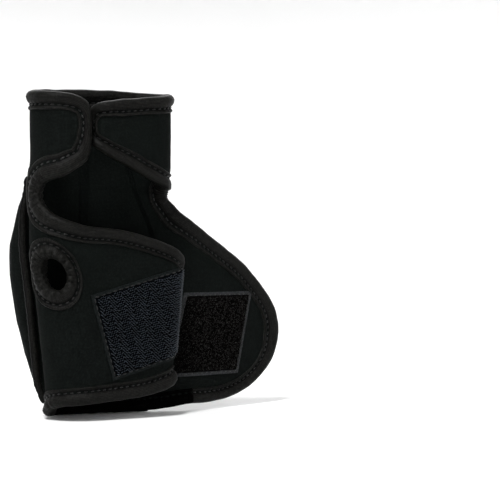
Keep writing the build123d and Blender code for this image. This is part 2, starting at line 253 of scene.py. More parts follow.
def waves(x, y, size, seed, count=7):
    """Soft random ripples of about -1 to 1, their wavelength about size."""
    rng = np.random.default_rng(seed)
    total = np.zeros(np.broadcast(x, y).shape)
    for _ in range(count):
        angle, stretch, phase = rng.uniform(0, 2 * np.pi), rng.uniform(0.6, 1.7), rng.uniform(0, 2 * np.pi)
        k = 2 * np.pi / (size * stretch)
        total += np.sin(k * (x * np.cos(angle) + y * np.sin(angle)) + phase)
    return total / count**0.5 / 1.4


def thumb_centre_x(z):
    """Centre of the thumb side's arc: the cuff narrows towards the wrist."""
    share = np.minimum(z, TAPER_TOP) / TAPER_TOP
    return THUMB_X_WRIST + (THUMB_X_HAND - THUMB_X_WRIST) * share + THUMB_R


def palm_slope(z):
    return PALM_SLOPE * (1 - fade_in(z, *SLOPE_FADE))


def curl_x(z):
    """Where the wing, or above it the front tab, begins to curl, as an x on the palm."""
    wing = CURL_LOW[0] + CURL_RISE * (z - CURL_LOW[1]) + hump(z, *HEM_FLARE)
    return np.where(z > SLOPE_FADE[1], TAB_CURL_X, wing)


def pattern_a(zone, place, z):
    """The pattern's a for a place given by x on the palm, back or rear tab, by degrees round the thumb or
    little-finger side, or by the distance past the hinge on the flap."""
    cx = float(thumb_centre_x(z))
    if zone == "palm":
        slope = float(palm_slope(z))
        run = (place - cx - THUMB_R * math.sin(slope)) / math.cos(slope)
        return cx - THUMB_R * (math.pi + slope) - run
    if zone == "side":
        return cx - THUMB_R * math.radians(place - 90)
    if zone == "outer":
        return OUTER_X + OUTER_R * math.radians(place)
    if zone == "tab":
        return OUTER_X + OUTER_R * math.pi + OUTER_X - place
    return place + (HINGE_X if zone == "flap" else 0)


def thumb_half(a, z):
    """Middle of the wall and its outward direction, from the wing or front tab round to the back."""
    cx, slope = thumb_centre_x(z), palm_slope(z)
    s = cx - a
    angle = np.pi / 2 + np.clip(s / THUMB_R, 0, np.pi + slope)
    run = np.maximum(s - THUMB_R * (np.pi + slope), 0)
    level = np.maximum((curl_x(z) - cx - THUMB_R * np.sin(slope)) / np.cos(slope), 0)
    straight = np.minimum(run, level)
    radius = np.where(z > SLOPE_FADE[1], TAB_CURL_R, WING_CURL_R)
    bend = (run - straight) / radius
    heading = slope + bend
    x = cx + THUMB_R * np.cos(angle) + np.maximum(-s, 0) + straight * np.cos(slope)
    y = THUMB_Y + THUMB_R * np.sin(angle) + straight * np.sin(slope)
    x = x + radius * (np.sin(heading) - np.sin(slope))
    y = y + radius * (np.cos(slope) - np.cos(heading))
    on_palm = run > 0
    nx = np.where(on_palm, np.sin(heading), np.cos(angle))
    ny = np.where(on_palm, -np.cos(heading), np.sin(angle))
    return x, y, nx, ny


def round_side(a):
    """The little-finger side of the knuckle band and the rear tab."""
    q = a - OUTER_X
    t = np.clip(q / OUTER_R, 0, np.pi)
    run = np.maximum(q - np.pi * OUTER_R, 0)
    straight = np.minimum(run, OUTER_X - OUTER_CURL_X)
    bend = (run - straight) / TAB_CURL_R
    x = OUTER_X + OUTER_R * np.sin(t) - straight - TAB_CURL_R * np.sin(bend)
    y = OUTER_Y + OUTER_R * np.cos(t) + TAB_CURL_R * (1 - np.cos(bend))
    return x, y, np.sin(t) - np.sin(bend), np.cos(t + bend)


def flap_side(a):
    """The flat back, bending at the hinge into the flap."""
    past = a - HINGE_X
    bend = np.clip((past + HINGE_BEND) / (2 * HINGE_BEND), 0, 1) * HEADING
    arc = 2 * HINGE_BEND / HEADING
    run = np.maximum(past - HINGE_BEND, 0)
    x = np.minimum(a, HINGE_X - HINGE_BEND) + arc * np.sin(bend) + run * math.cos(HEADING)
    y = BACK_Y + arc * (1 - np.cos(bend)) + run * math.sin(HEADING)
    return x, y, -np.sin(bend), np.cos(bend)


def pinched(a, z):
    """How far the wall is drawn in by the corded thumb seam, the knuckle band's edging and the notch."""
    turn = 90 + np.degrees((thumb_centre_x(z) - a) / THUMB_R)
    low, high = SEAM_PINCH_FADES
    seam = hump(turn, *SEAM_PINCH) * fade_in(z, *low) * (1 - fade_in(z, *high))
    band = hump(turn, *BAND_PINCH) * fade_in(z, *BAND_PINCH_FADE)
    notch = (hump(z, *NOTCH_PULL) - hump(z, *NOTCH_PUSH)) * hump(a, *NOTCH_REACH)
    return seam + band + notch


def wall(a, z, h):
    """Points in space for places in the pattern."""
    a, z, h = (np.asarray(v, float) for v in np.broadcast_arrays(a, z, h))
    h = h - pinched(a, z)
    thumb = thumb_half(a, z)
    twist = fade_in(z, *TWIST)
    mixed = [flat + twist * (rnd - flat) for flat, rnd in zip(flap_side(a), round_side(a))]
    x, y, nx, ny = (np.where(a > OUTER_X, m, t) for m, t in zip(mixed, thumb))
    size = np.hypot(nx, ny)
    return np.stack([x + h * nx / size, y + h * ny / size, z], -1)


# ---- cloth edges


def smooth_curve(points, closed, step=0.5):
    """Catmull-Rom curve through the points, resampled evenly."""
    p = np.array(points, float)
    before, after = (p[-1], p[:2]) if closed else (2 * p[0] - p[1], [2 * p[-1] - p[-2]])
    q = np.vstack([before, p, after])
    u = np.linspace(0, 1, 24, endpoint=False)[:, None]
    parts = []
    for p0, p1, p2, p3 in zip(q, q[1:], q[2:], q[3:]):
        near = max(np.hypot(*(p2 - p1)), 0.1)
        m1 = (p2 - p0) * near / (near + max(np.hypot(*(p1 - p0)), 0.1))
        m2 = (p3 - p1) * near / (near + max(np.hypot(*(p3 - p2)), 0.1))
        parts.append(
            (2 * u**3 - 3 * u**2 + 1) * p1 + (u**3 - 2 * u**2 + u) * m1
            + (3 * u**2 - 2 * u**3) * p2 + (u**3 - u**2) * m2
        )
    dense = np.vstack([*parts, p[:1] if closed else p[-1:]])
    length = np.concatenate([[0], np.cumsum(np.hypot(*np.diff(dense, axis=0).T))])
    t = np.linspace(0, length[-1], int(length[-1] / step) + 1)
    return t, np.stack([np.interp(t, length, dense[:, i]) for i in (0, 1)], -1)


class Edge:
    """An edge of the cloth in the pattern, the cloth on its right. t runs along it, u into the cloth."""

    def __init__(self, points, closed=False, soften=7.0, widths=()):
        """widths are (a, z, factor): the edging's width against the usual one near those places."""
        self.closed = closed
        self.t, self.p = smooth_curve(points, closed)
        step = self.t[1]
        ahead = np.gradient(self.p, step, axis=0)
        if closed:
            ahead[0] = ahead[-1] = (self.p[1] - self.p[-2]) / (2 * step)
        ahead /= np.hypot(*ahead.T)[:, None]
        normal = np.stack([ahead[:, 1], -ahead[:, 0]], -1)
        reach = int(soften / step)
        kernel = np.hanning(2 * reach + 1)
        kernel /= kernel.sum()
        body = normal[:-1] if closed else normal
        padded = np.pad(body, ((reach, reach), (0, 0)), "wrap" if closed else "edge")
        soft = np.stack([np.convolve(padded[:, i], kernel, "valid") for i in (0, 1)], -1)
        soft = np.vstack([soft, soft[:1]]) if closed else soft
        self.n = soft / np.hypot(*soft.T)[:, None]
        spread = np.gradient(self.n, step, axis=0)
        self.spread = (spread * ahead).sum(-1)
        self.width = np.ones(len(self.t))
        if widths:
            near = sorted((self.t_near(a, z), factor) for a, z, factor in widths)
            self.width = np.interp(self.t, *zip(*near))

    def read(self, t, values):
        t = np.mod(t, self.t[-1]) if self.closed else t
        return np.interp(t, self.t, values)

    def flat(self, t, u):
        u = u * self.read(t, self.width)
        a = self.read(t, self.p[:, 0]) + u * self.read(t, self.n[:, 0])
        z = self.read(t, self.p[:, 1]) + u * self.read(t, self.n[:, 1])
        return a, z

    def at(self, t, u, h):
        a, z = self.flat(t, u)
        return wall(a, z, h)

    def spaced(self, u, pitch, start, end):
        """Values of t from start to end that lie a pitch apart at a depth."""
        t = np.linspace(start, end, 2000)
        place = self.at(t, u, 0)
        length = np.concatenate([[0], np.cumsum(np.linalg.norm(np.diff(place, axis=0), axis=1))])
        count = max(int(round(length[-1] / pitch)), 1)
        return np.interp(np.linspace(0, length[-1], count + 1), length, t)

    def t_near(self, a, z):
        return self.t[np.argmin(np.hypot(*(self.p - (a, z)).T))]


def pattern_points(places):
    return [(pattern_a(*place), place[2]) for place in places]


# ---- meshes


def set_pattern(mesh, places):
    """Gives a mesh its place in the cloth, in millimetres, for the weave."""
    layer = mesh.uv_layers.new(name="pattern")
    corner = np.zeros(len(mesh.loops), int)
    mesh.loops.foreach_get("vertex_index", corner)
    layer.data.foreach_set("uv", (np.asarray(places)[corner] / PATTERN_UNIT).astype(np.float32).ravel())


def add_object(name, data):
    item = bpy.data.objects.new(name, data)
    bpy.context.scene.collection.objects.link(item)
    return item


def make_piece(name, points, faces, material, slot, uv=None, sharp=50):
    mesh = bpy.data.meshes.new(name)
    mesh.from_pydata((np.asarray(points) * MM).tolist(), [], [list(map(int, f)) for f in faces])
    mesh.update()
    if uv is not None:
        set_pattern(mesh, uv)
    bm = bmesh.new()
    bm.from_mesh(mesh)
    bmesh.ops.recalc_face_normals(bm, faces=bm.faces)
    bm.to_mesh(mesh)
    bm.free()
    mesh.shade_smooth()
    mesh.set_sharp_from_angle(angle=math.radians(sharp))
    mesh.materials.append(material)
    piece = add_object(name, mesh)
    return piece


def grid_faces(rows, columns, wrap_rows=False, wrap_columns=False):
    """Quads of a grid whose points are counted row by row."""
    r = np.arange(rows if wrap_rows else rows - 1)
    c = np.arange(columns if wrap_columns else columns - 1)
    r, c = np.meshgrid(r, c, indexing="ij")
    r2, c2 = (r + 1) % rows, (c + 1) % columns
    quads = np.stack([r * columns + c, r * columns + c2, r2 * columns + c2, r2 * columns + c], -1)
    return quads.reshape(-1, 4).tolist()


def capped_faces(rows, columns):
    """Faces of a tube of rings, closed at both ends."""
    ends = [list(range(columns))[::-1], list(range((rows - 1) * columns, rows * columns))]
    return grid_faces(rows, columns, wrap_columns=True) + ends


def layer_faces(faces, n):
    """Faces of a layer: those of its n points on one face, of the same on the other, and the sides."""
    directed = dict.fromkeys((i, j) for f in faces for i, j in zip(f, f[1:] + f[:1]))
    sides = [(i, j, j + n, i + n) for i, j in directed if (j, i) not in directed]
    return faces + [[i + n for i in f[::-1]] for f in faces] + sides


def gather_parts(parts):
    """Several (points, faces) as one."""
    points, faces, base = [], [], 0
    for p, f in parts:
        points.append(p)
        faces += [[i + base for i in face] for face in f]
        base += len(p)
    return np.vstack(points), faces


def inside(points, loop):
    """Which points lie inside a closed outline."""
    x, y = points[:, 0:1], points[:, 1:2]
    x1, y1 = loop[:, 0], loop[:, 1]
    x2, y2 = np.roll(x1, -1), np.roll(y1, -1)
    crosses = (y1 > y) != (y2 > y)
    at = x1 + (y - y1) / np.where(y2 == y1, 1, y2 - y1) * (x2 - x1)
    return (crosses & (x < at)).sum(1) % 2 == 1


def cut_pattern(loops, lines, pitch):
    """Triangulates the pattern: inside the first loop, outside the others, with edges along the lines."""
    low, high = loops[0].min(0), loops[0].max(0)
    gx, gz = np.meshgrid(np.arange(low[0], high[0], pitch), np.arange(low[1], high[1], pitch))
    gx = gx + (np.arange(len(gx)) % 2)[:, None] * pitch / 2
    grid = np.stack([gx.ravel(), gz.ravel()], -1)
    border = np.vstack([*loops, *lines])

    def in_cloth(points):
        return inside(points, loops[0]) & ~np.any([inside(points, gap) for gap in loops[1:]], 0)

    grid = grid[in_cloth(grid)]
    clear = np.array([np.hypot(*(border - g).T).min() > 0.6 * pitch for g in grid])
    grid = grid[clear]
    edges, base = [], 0
    for chain, closed in [(c, True) for c in loops] + [(c, False) for c in lines]:
        n = len(chain)
        edges += [(base + i, base + (i + 1) % n) for i in range(n if closed else n - 1)]
        base += n
    points = np.vstack([border, grid])
    result = geometry.delaunay_2d_cdt([Vector(p) for p in points.tolist()], edges, [], 0, 1e-4)
    flat = np.array([tuple(v) for v in result[0]])
    faces = np.array(result[2])
    return flat, faces[in_cloth(flat[faces].mean(1))]


# ---- materials


def new_material(name, roughness, metallic=0.0, specular=0.5):
    material = bpy.data.materials.new(name)
    material.use_nodes = True
    shader = material.node_tree.nodes["Principled BSDF"]
    shader.inputs["Roughness"].default_value = roughness
    shader.inputs["Metallic"].default_value = metallic
    shader.inputs["Specular IOR Level"].default_value = specular
    return material


def add_node(material, kind, links=(), values=(), **properties):
    """Adds a node. links are (input, node, output) and values are (input, value)."""
    node = material.node_tree.nodes.new("ShaderNode" + kind)
    for name, value in properties.items():
        setattr(node, name, value)
    for socket, value in values:
        node.inputs[socket].default_value = value
    for socket, source, output in links:
        material.node_tree.links.new(source.outputs[output], node.inputs[socket])
    return node


def to_shader(material, socket, source, output):
    shader = material.node_tree.nodes["Principled BSDF"]
    material.node_tree.links.new(source.outputs[output], shader.inputs[socket])


def colour_ramp(material, source, output, stops):
    """A ramp between two colours."""
    ramp = add_node(material, "ValToRGB", [("Fac", source, output)])
    for element, (place, colour) in zip(ramp.color_ramp.elements, stops):
        element.position = place
        element.color = (*colour, 1)
    return ramp


def groove_shade(material, place, colours, depth):
    """Painted shade: darkens a strip of edging along its stitched groove, at a depth in millimetres, on
    both faces.
    """
    split = add_node(material, "SeparateXYZ", [("Vector", place, "UV")])
    face_step = FACE_STEP / PATTERN_UNIT
    face = add_node(material, "Math", [(0, split, "Y")], [(1, face_step)], operation="MODULO")
    line = [(1, depth / PATTERN_UNIT)]
    off = add_node(material, "Math", [(0, face, "Value")], line, operation="SUBTRACT")
    near = add_node(material, "Math", [(0, off, "Value")], operation="ABSOLUTE")
    band = [("From Min", GROOVE_SHADE_SPAN[0] / PATTERN_UNIT), ("From Max", GROOVE_SHADE_SPAN[1] / PATTERN_UNIT)]
    shade = add_node(
        material, "MapRange", [("Value", near, "Value")], [*band, ("To Min", GROOVE_SHADE_TONE)],
        interpolation_type="SMOOTHSTEP",
    )
    both = [(0, colours, "Color"), (1, shade, "Result")]
    return add_node(material, "VectorMath", both, operation="MULTIPLY")


def fabric(name, dark, light, roughness, weave, bump, coords="UV", rib=None, specular=0.02, groove=None):
    """Woven or knitted cloth: two crossed sets of threads, a mottled tone and a little fuzz. weave and rib
    are the pitches across and along, in millimetres. groove is the depth of a stitched groove, along which
    the colour is darkened as painted shade."""
    material = new_material(name, roughness, specular=specular)
    place = add_node(material, "TexCoord")
    unit = PATTERN_UNIT if coords == "UV" else 1 / MM
    threads = []
    for direction, pitch in (("X", weave), ("Y", rib or weave)):
        values = [("Scale", math.pi / 10 * unit / pitch), ("Distortion", 1.2), ("Detail Scale", 2.5)]
        threads.append(
            add_node(material, "TexWave", [("Vector", place, coords)], values, bands_direction=direction)
        )
    across, along = threads
    crossed = add_node(material, "Math", [(0, across, "Fac"), (1, along, "Fac")], operation="MULTIPLY")
    mottle = add_node(material, "TexNoise", [("Vector", place, "Object")], [("Scale", 55), ("Detail", 6)])
    fuzz = add_node(material, "TexNoise", [("Vector", place, "Object")], [("Scale", 900), ("Detail", 3)])
    parts = [(0, crossed, "Value"), (1, mottle, "Fac"), (2, fuzz, "Fac")]
    blend = add_node(material, "Math", parts, operation="MULTIPLY_ADD")
    tone = add_node(material, "Math", [(0, blend, "Value")], [(1, 0.62)], operation="MULTIPLY")
    colours = colour_ramp(material, tone, "Value", [(0.31, dark), (0.51, light)])
    # Painted shade along the stitched groove
    if groove:
        to_shader(material, "Base Color", groove_shade(material, place, colours, groove), "Vector")
    else:
        to_shader(material, "Base Color", colours, "Color")
    ends = [("To Min", roughness - 0.08), ("To Max", roughness + 0.1)]
    polish = add_node(material, "MapRange", [("Value", mottle, "Fac")], ends)
    to_shader(material, "Roughness", polish, "Result")
    values = [("Strength", 0.6), ("Distance", bump * MM)]
    relief = add_node(material, "Bump", [("Height", blend, "Value")], values)
    to_shader(material, "Normal", relief, "Normal")
    return material


def grains(name, dark, light, size, roughness, metallic):
    """Loose grains: rounded cells of a given size in millimetres."""
    material = new_material(name, roughness, metallic)
    place = add_node(material, "TexCoord")
    scale = [("Scale", 1 / (MM * size))]
    cells = add_node(material, "TexVoronoi", [("Vector", place, "Object")], scale)
    colours = colour_ramp(material, cells, "Distance", [(0, light), (0.7, dark)])
    to_shader(material, "Base Color", colours, "Color")
    height = [("Height", cells, "Distance")]
    relief = add_node(material, "Bump", height, [("Distance", size * MM / 2)], invert=True)
    to_shader(material, "Normal", relief, "Normal")
    return material


def plain(name, colour, roughness):
    """Nearly even paint."""
    material = new_material(name, roughness)
    place = add_node(material, "TexCoord")
    grain = add_node(material, "TexNoise", [("Vector", place, "Object")], [("Scale", 4)])
    ramp = colour_ramp(material, grain, "Fac", [(0, [c * 0.985 for c in colour]), (1, colour)])
    to_shader(material, "Base Color", ramp, "Color")
    return material


JERSEY = ((0.0012, 0.0017, 0.0015), (0.0054, 0.0069, 0.0062), 0.7)
neoprene = fabric("neoprene_jersey", *JERSEY, 0.75, 0.12)
pouch_cloth = fabric("pouch_jersey", *JERSEY, 0.8, 0.12)
lining = fabric("neoprene_lining", (0.001, 0.0014, 0.0013), (0.004, 0.005, 0.0046), 0.75, 0.75, 0.12)
# The edging knit carries painted shade along its stitched groove.
knit = fabric(
    "edging_knit", (0.0014, 0.0014, 0.0012), (0.0102, 0.0102, 0.0091), 0.5, 0.5, 0.12,
    rib=0.9, specular=0.05, groove=STITCH_DEPTH,
)
# A darker copy of the edging knit, without sheen: painted shade for the edging and stitches low at the
# back and at the flap's root.
shaded_hem_knit = fabric(
    "shaded_hem_knit", (0.0006, 0.0006, 0.0006), (0.002, 0.002, 0.0019), 0.7, 0.5, 0.12, rib=0.9, specular=0.0
)
thread = fabric(
    "thread", (0.002, 0.002, 0.002), (0.019, 0.019, 0.018), 0.3, 0.35, 0.05, coords="Object", specular=0.2
)
hook_base = fabric("hook_tape_base", (0.003, 0.0038, 0.0038), (0.011, 0.013, 0.013), 0.6, 0.6, 0.15)
# The ground among the hooks is far darker than the tape's selvedge and has no sheen: painted shade between
# the hooks.
hook_floor = fabric(
    "hook_tape_floor_painted_shade", (0.0004, 0.0005, 0.0006), (0.002, 0.0025, 0.003), 0.7, 0.6, 0.15, specular=0.0
)
hook_wire = fabric(
    "hook_wire", (0.0045, 0.006, 0.008), (0.042, 0.053, 0.068), 0.3, 0.5, 0.03,
    coords="Object", specular=0.4,
)
loop_base = fabric(
    "loop_tape_base", (0.008, 0.0085, 0.009), (0.034, 0.036, 0.039), 0.6, 0.6, 0.15, specular=0.1
)
# The pile's body is far darker than the tape's selvedge and has no sheen: painted shade within the pile.
loop_floor = fabric(
    "loop_pile_floor_painted_shade", (0.0004, 0.0004, 0.0004), (0.0034, 0.0032, 0.003), 0.8, 0.9, 0.3, specular=0.0
)
loop_pile = fabric(
    "loop_pile", (0.002, 0.002, 0.0018), (0.042, 0.04, 0.038), 0.5, 0.6, 0.3, coords="Object"
)
bag_cloth = fabric("bag_cloth", (0.25, 0.24, 0.21), (0.5, 0.48, 0.43), 0.8, 0.9, 0.15, coords="Object")
iron_sand = grains("iron_sand_grains", (0.03, 0.028, 0.026), (0.24, 0.22, 0.2), 0.7, 0.42, 0.9)


# ---- edging and sewing


def swept(name, edge, t, uu, hh, material, slot, whole=False):
    """A closed strip along an edge: each row of uu and hh is its section at one t."""
    tt = np.broadcast_to(t[:, None], uu.shape)
    rows, columns = uu.shape
    faces = grid_faces(rows, columns, True, True) if whole else capped_faces(rows, columns)
    uv = np.stack([tt, uu + FACE_STEP * (hh < 0)], -1).reshape(-1, 2)
    return make_piece(name, edge.at(tt, uu, hh).reshape(-1, 3), faces, material, slot, uv)


def rolled_edge(name, edge, start, end, cloth, step=0.75, puff=1.0, seed=3):
    """The folded strip sewn over an edge: a puffy roll, a stitched groove and a thin lip on both faces."""
    t = edge.spaced(5, step, start, end)
    whole = edge.closed and end - start >= edge.t[-1] - 0.01
    t = t[:-1] if whole else t
    u, h = np.array(ROLL + [(0.0, 0.0)] + [(u, -h) for u, h in reversed(ROLL)]).T
    side = np.sign(h)
    tt, uu = np.meshgrid(t, u, indexing="ij")
    roll, groove, lip = hump(uu, 1, 3.2, 2.6), hump(uu, 1, STITCH_DEPTH, 1.3), hump(uu, 1, 10, 0.9)
    tight = np.clip(edge.read(t, edge.spread) * 10, 0, 1)[:, None]
    phase = (2 * np.pi * step * np.arange(len(t)) / GATHER_PITCH)[:, None]
    phase = phase + 1.3 * waves(tt, 0 * tt, 9, seed + 5)
    stitch_t = edge.spaced(STITCH_DEPTH, STITCH_PITCH, start, end)
    stitch_phase = np.interp(t, stitch_t, np.arange(len(stitch_t)))[:, None]
    lift = 1.5 * roll * (puff - 1)
    lift += roll * (0.2 * waves(tt, uu * 1.5, 6.5, seed) + 0.2 * waves(tt, uu, 19, seed + 4))
    lift += roll * tight * 1.6 * (np.abs(np.sin(phase / 2)) ** 0.7 - 0.55)
    lift -= groove * 0.3 * (1 + np.cos(2 * np.pi * stitch_phase))
    lift += lip * 0.14 * waves(tt, uu, 5, seed + 2)
    uu = uu + roll * tight * 0.32 * np.cos(phase) + 0.12 * waves(tt, uu, 8, seed + 1)
    return swept(name, edge, t, uu, h + side * lift, cloth, "binding", whole)


def capsule(length, width, height, rings=5, sides=6):
    """Points and faces of a short rounded dash, along its first axis."""
    v = np.linspace(0.08, 0.92, rings) * np.pi
    v, w = np.meshgrid(v, round_turn(sides), indexing="ij")
    girth = np.sin(v) ** 0.6 / 2
    body = [-np.cos(v) * length / 2, girth * np.cos(w) * width, girth * np.sin(w) * height]
    body = np.stack(body, -1).reshape(-1, 3)
    points = np.vstack([body, [(-length / 2, 0, 0)], [(length / 2, 0, 0)]])
    faces = grid_faces(rings, sides, wrap_columns=True)
    last = (rings - 1) * sides
    faces += [((i + 1) % sides, i, rings * sides) for i in range(sides)]
    faces += [(last + i, last + (i + 1) % sides, rings * sides + 1) for i in range(sides)]
    return points, faces


def sewn(name, edge, start, end, sides=(1, -1), depth=STITCH_DEPTH, level=STITCH_LEVEL, material=thread):
    """Stitches along an edge at a depth, on one or both faces."""
    dash, faces = capsule(STITCH_LENGTH, 0.8, 0.6)
    parts = []
    for side in sides:
        for k, t in enumerate(edge.spaced(depth, STITCH_PITCH, start, end)[:-1]):
            spread = max(float(edge.read(t, edge.spread)), -0.06)
            stretch = 1 + depth * float(edge.read(t, edge.width)) * spread
            slant = 0.18 if k % 2 else 0.1
            along = t + STITCH_PITCH / 2 / stretch + dash[:, 0] / stretch
            place = edge.at(along, depth + dash[:, 1] + slant * dash[:, 0], side * (level + dash[:, 2]))
            parts.append((place, faces))
    return make_piece(name, *gather_parts(parts), material, "thread")


edging_widths = [(pattern_a(*place[:3]), place[2], place[3]) for place in EDGING_WIDTH]
perimeter = Edge(pattern_points(WINDOW + RIM + OUTER_TAB + FLAP + HEM), widths=edging_widths)
hole_a, hole_z = pattern_a(*HOLE), HOLE[2]
turns = round_turn(24)
hole_points = np.stack([np.cos(turns), np.sin(turns)], -1) * HOLE_SIZE + (hole_a, hole_z)
hole = Edge(hole_points, closed=True, soften=3.0)
hole.width = 1.05 - HOLE_LOPSIDED * np.maximum(hole_a - hole.p[:, 0], 0) / HOLE_SIZE[0]


def t_at(zone, place, z):
    return float(perimeter.t_near(pattern_a(zone, place, z), z))


marks = {
    "start": 0.0,
    "rim": t_at("palm", -16.3, 169.5),
    "outer": t_at("tab", -19.6, 167),
    "flap": t_at("flap", SHELL_END, 121),
    "wing": t_at("side", 160, 1.4),
    "split_top": t_at("flap", FLAP_SPLIT, 106.3),
    "split_low": t_at("flap", FLAP_SPLIT, 4),
    "root": t_at("flap", 5, 3.5),
    "hem": t_at("flap", SHELL_END, 2.8),
    "end": float(perimeter.t[-1]),
}
SPANS = [
    ("palm_window", "", "start", "rim"),
    ("top_rim", "", "rim", "outer"),
    ("outer_tab", "", "outer", "flap"),
    ("flap_side", "", "flap", "split_top"),
    ("flap_side", "_low", "split_low", "root"),
    ("flap_side", "_root", "root", "hem"),
    ("flap_front", "", "split_top", "split_low"),
    ("hem", "", "wing", "end"),
    ("hem", "_low", "hem", "wing"),
]


def bending(a):
    """The two ends, in metres, of the stretch of cloth that bends round a line up the flap."""
    return [tuple(wall(a + side * BLEND, FLAP_MIDDLE_Z, 0) * MM) for side in (-1, 1)]


def attach(piece, where):
    """Makes a piece follow the shell. A piece on either half of the flap only has its placement made part
    of its mesh.
    """
    if where == "flap_side":
        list(bending(HINGE_X))
        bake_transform(piece)
    elif where == "flap_front":
        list(bending(HINGE_X + CREASE))
        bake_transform(piece)
    else:
        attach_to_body(piece, "cuff_shell")


for name, suffix, first, last in SPANS:
    # From the flap's root round the low back, edging and stitches take the darker copy of the knit as
    # painted shade.
    cloth, sewing = (shaded_hem_knit, shaded_hem_knit) if first in ("root", "hem") else (knit, thread)
    roll = rolled_edge(f"{name}_edging{suffix}", perimeter, marks[first], marks[last], cloth)
    seam = sewn(f"{name}_stitches{suffix}", perimeter, marks[first], marks[last], material=sewing)
    attach(roll, name)
    attach(seam, name)
    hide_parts(f"{name}_binding")
ring = rolled_edge("thumb_hole_edging", hole, 0, float(hole.t[-1]), knit, step=0.7, puff=1.25, seed=11)
ring_lap = rolled_edge("thumb_hole_lap", hole, 1.0, 7.0, knit, step=0.7, puff=1.8, seed=12)
ring_seam = sewn("thumb_hole_stitches", hole, 0, float(hole.t[-1]))
for piece in (ring, ring_lap, ring_seam):
    attach(piece, "cuff_shell")
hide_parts("thumb_hole_binding")


def lining_seam(name, places, profile):
    """A sewn strip on the lining, its profile in depth from the line and height over the wall's middle."""
    edge = Edge(pattern_points(places))
    t = edge.spaced(0, 1.5, 0, float(edge.t[-1]))
    u, h = np.array(profile).T
    uu = np.tile(u, (len(t), 1)) + 0.1 * waves(t, 0 * t, 11, 71)[:, None]
    strip = swept(name + "_strip", edge, t, uu, np.tile(h, (len(t), 1)), lining, "neoprene")
    seam = sewn(name + "_stitches", edge, 1, float(edge.t[-1]) - 1, (-1,), max(u) - 1.0, 2.2, lining)
    attach(strip, "cuff_shell")
    attach(seam, "cuff_shell")


lining_seam("lap_seam", LAP_SEAM, LAP_PROFILE)
lining_seam("side_seam", SIDE_SEAM, SIDE_PROFILE)


def tack_thread():
    """Bar of thread wraps that holds the two tabs' ends together."""
    dash, faces = capsule(TACK_SIZE[0], 0.7, 0.7)
    x, y, up = dash.T
    parts = []
    for k, z in enumerate(np.arange(-TACK_SIZE[1] / 2, TACK_SIZE[1] / 2, TACK_PITCH)):
        tilt = 0.08 if k % 2 else -0.06
        parts.append((np.stack([x, y + 0.1 * x, z + up + tilt * x], -1) + TACK_AT, faces))
    return make_piece("band_tack_thread", *gather_parts(parts), thread, "thread")


tack = tack_thread()
attach(tack, "cuff_shell")
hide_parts("band_tack")


# ---- the sheet


def sheet_piece(name, flat, faces):
    """A piece of the sheet: two slightly uneven faces and the sides between them."""
    used, faces = np.unique(faces, return_inverse=True)
    flat = flat[used]
    a, z = flat.T
    depth = PANEL_T / 2 + 0.16 * waves(a, z, 34, 21) + 0.05 * waves(a, z, 9, 22)
    points = np.vstack([wall(a, z, depth), wall(a, z, -depth)])
    faces = layer_faces(faces.reshape(-1, 3).tolist(), len(flat))
    return make_piece(name, points, faces, neoprene, "neoprene", np.vstack([flat, flat]))


def inset(edge, depth):
    """Outline of the sheet, at a depth inside the edging."""
    t = edge.spaced(0, SHEET_PITCH, 0, float(edge.t[-1]))
    t = t[:-1] if edge.closed else t
    return np.stack(edge.flat(t, depth), -1)


def upright(a, base, top):
    """Points of a line up the pattern."""
    return np.array([(a, z) for z in np.arange(base, top, SHEET_PITCH)])


levels = np.linspace(LINE_BASE, BAND_LINE_TOP, 100)
loops = [inset(perimeter, SHEET_INSET), inset(hole, SHEET_INSET)]
lines = [
    np.stack([thumb_centre_x(levels) - THUMB_R * SEAM_TURN, levels], -1),
    upright(OUTER_X, BAND_BASE, BAND_LINE_TOP),
    np.array([(a, BAND_BASE) for a in np.arange(OUTER_X, 44, 1.5)]),
    upright(HINGE_X + SHELL_END, LINE_BASE, FLAP_LINE_TOP),
    upright(HINGE_X + FLAP_SPLIT, LINE_BASE, FLAP_LINE_TOP),
]
flat, triangles = cut_pattern(loops, lines, SHEET_PITCH)
middle_a, middle_z = flat[triangles].mean(1).T
past = middle_a - HINGE_X
on_band = middle_z > BAND_BASE
on_flap = ~on_band & (past > SHELL_END)
REGIONS = {
    "thumb_side": middle_a < thumb_centre_x(middle_z) - THUMB_R * SEAM_TURN,
    "outer_side": on_band & (middle_a > OUTER_X),
    "flap_side": on_flap & (past < FLAP_SPLIT),
    "flap_front": on_flap & (past >= FLAP_SPLIT),
}
REGIONS["back"] = ~np.any(list(REGIONS.values()), 0)
for name, chosen in REGIONS.items():
    cloth = sheet_piece(f"{name}_cloth", flat, triangles[chosen])
    attach(cloth, name)
    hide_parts(f"{name}_panel")


# ---- tapes


def hook_line(p, q):
    """x and z at p along and q across the hook tape."""
    c, s = math.cos(HOOK_TURN), math.sin(HOOK_TURN)
    return HOOK_CORNER[0] + p * c - q * s, HOOK_CORNER[1] + p * s + q * c


def wing_end(q):
    """How far a row of the hook tape runs before the wing ends, for a height q across the tape."""
    x, z = hook_line(0, q)
    return (curl_x(z) + CURL_RUN - x) / (math.cos(HOOK_TURN) - CURL_RISE * math.sin(HOOK_TURN))


def hook_place(p, q, h):
    """Point on the palm wing at p along and q across the hook tape, h above the sheet."""
    x, z = hook_line(p, q)
    cx, slope = thumb_centre_x(z), palm_slope(z)
    run = (x - cx - THUMB_R * np.sin(slope)) / np.cos(slope)
    return wall(cx - THUMB_R * (np.pi + slope) - run, z, PANEL_T / 2 + h)


def loop_place(p, q, h):
    """Point on the flap's inner side at p along and q across the loop tape, h above the sheet."""
    a = HINGE_X + LOOP_CORNER[0] + p + LOOP_LEAN * q / TAPE_W
    return wall(a, LOOP_CORNER[1] + q, -PANEL_T / 2 - h)


